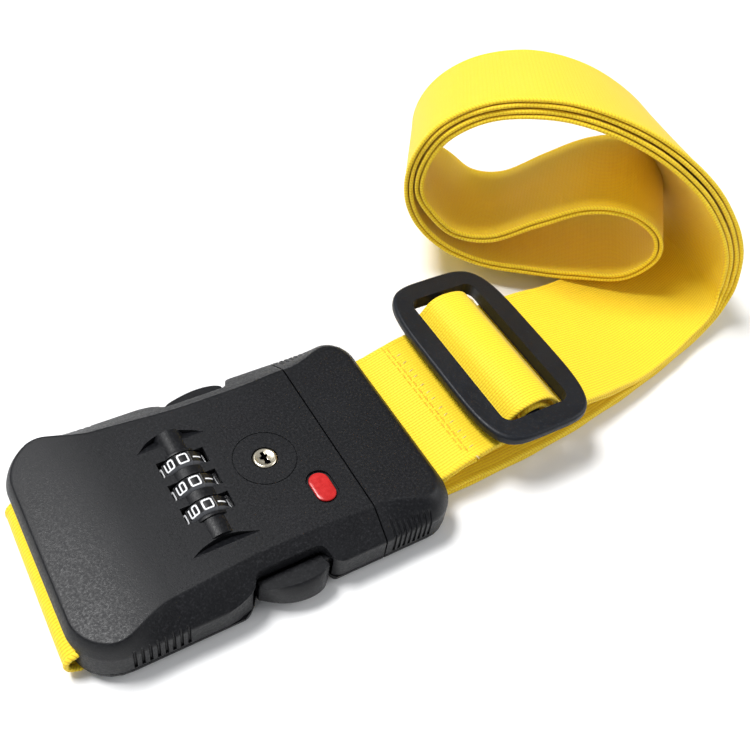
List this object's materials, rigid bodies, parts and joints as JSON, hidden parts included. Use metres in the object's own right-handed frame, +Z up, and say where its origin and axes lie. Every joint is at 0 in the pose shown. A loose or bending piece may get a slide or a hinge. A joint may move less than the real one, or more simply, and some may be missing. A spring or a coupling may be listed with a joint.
{
  "type": "luggage strap",
  "caption": "Combination and key luggage strap: side release lock buckle, three bar slider and one long flat webbing that lies doubled and partly coiled.",
  "frame": {"origin": "underside of the lower webbing, below the middle of the closed buckle", "axes": "+X along the strap from the lock half to the end cap and the coil, +Y across the strap to its far edge, +Z up from the table"},
  "size_m": [0.2612, 0.1455, 0.0778],
  "materials": {
    "case": "fine grained charcoal plastic",
    "dial": "glossy black with pale digits",
    "steel": "plain",
    "brass": "turned",
    "nickel": "satin nickel",
    "slider": "fine grained, slightly blue black",
    "webbing": "ribbed woven polyester",
    "emblem": "raised badge without a mark"
  },
  "bodies": {
    "strap": {"webbing_upper_run": "webbing", "webbing_inner_turn": "webbing", "webbing_inner_arch": "webbing", "webbing_inner_bend": "webbing", "webbing_small_loop": "webbing", "webbing_small_loop_floor": "webbing", "webbing_outer_bend": "webbing", "webbing_outer_arch": "webbing", "webbing_outer_turn": "webbing", "webbing_lower_run": "webbing", "webbing_cap_loop": "webbing", "end_cap_cover": "case", "end_cap_base": "case", "cap_screw_1": "steel", "cap_screw_2": "steel"},
    "lock_half": {"lock_cover": "case", "lock_base": "case", "webbing_lock_fold": "webbing", "dial_shaft": "steel", "detent_spring": "steel", "key_housing": "brass", "emblem_inlay": "emblem", "case_screw_1": "steel", "case_screw_2": "steel", "case_screw_3": "steel", "case_screw_4": "steel", "bolt_spring": "steel"},
    "dial_wheel_1": {"dial_1": "dial", "dial_sleeve_1": "brass"},
    "dial_wheel_2": {"dial_2": "dial", "dial_sleeve_2": "brass"},
    "dial_wheel_3": {"dial_3": "dial", "dial_sleeve_3": "brass"},
    "key_cylinder": {"key_plug": "nickel", "key_cam": "steel"},
    "bolt": {"lock_bolt": "steel"},
    "reset_button": {"reset_pin": "case"},
    "arm_far": {"release_arm_far": "case"},
    "arm_near": {"release_arm_near": "case"},
    "slider": {"slider_frame": "slider", "webbing_grip": "webbing", "webbing_slider_loop": "webbing"}
  },
  "joints": [
    {"name": "unclip", "type": "slide", "parent": "strap", "child": "lock_half", "axis": [-1, 0, 0], "range_m": [0, 0.045], "deforming": ["release_arm_far", "release_arm_near"]},
    {"name": "release_far", "type": "hinge", "parent": "strap", "child": "arm_far", "pos_m": [0.038, 0.0302, 0.0075], "axis": [0, 0, 1], "range_deg": [0, 4], "stiffness_Nm_per_rad": 0.5},
    {"name": "release_near", "type": "hinge", "parent": "strap", "child": "arm_near", "pos_m": [0.038, -0.0302, 0.0075], "axis": [0, 0, -1], "range_deg": [0, 4], "stiffness_Nm_per_rad": 0.5},
    {"name": "dial_1_turn", "type": "hinge", "parent": "lock_half", "child": "dial_wheel_1", "pos_m": [-0.0103, 0.00815, 0.01175], "axis": [0, 1, 0], "continuous": true},
    {"name": "dial_2_turn", "type": "hinge", "parent": "lock_half", "child": "dial_wheel_2", "pos_m": [-0.0103, 0, 0.01175], "axis": [0, 1, 0], "continuous": true},
    {"name": "dial_3_turn", "type": "hinge", "parent": "lock_half", "child": "dial_wheel_3", "pos_m": [-0.0103, -0.00815, 0.01175], "axis": [0, 1, 0], "continuous": true},
    {"name": "key_turn", "type": "hinge", "parent": "lock_half", "child": "key_cylinder", "pos_m": [0.0103, 0, 0.0125], "axis": [0, 0, 1], "range_deg": [0, 90]},
    {"name": "bolt_slide", "type": "slide", "parent": "lock_half", "child": "bolt", "axis": [-1, 0, 0], "range_m": [0, 0.0018]},
    {"name": "reset_press", "type": "slide", "parent": "lock_half", "child": "reset_button", "axis": [0, 0, 1], "range_m": [0, 0.001], "stiffness_N_per_m": 300},
    {"name": "strap_adjust", "type": "slide", "parent": "strap", "child": "slider", "axis": [1, 0, 0], "range_m": [-0.004, 0.012]}
  ],
  "couplings": [
    {"joint": "key_turn", "follows": "bolt_slide", "rad_per_m": 850}
  ]
}
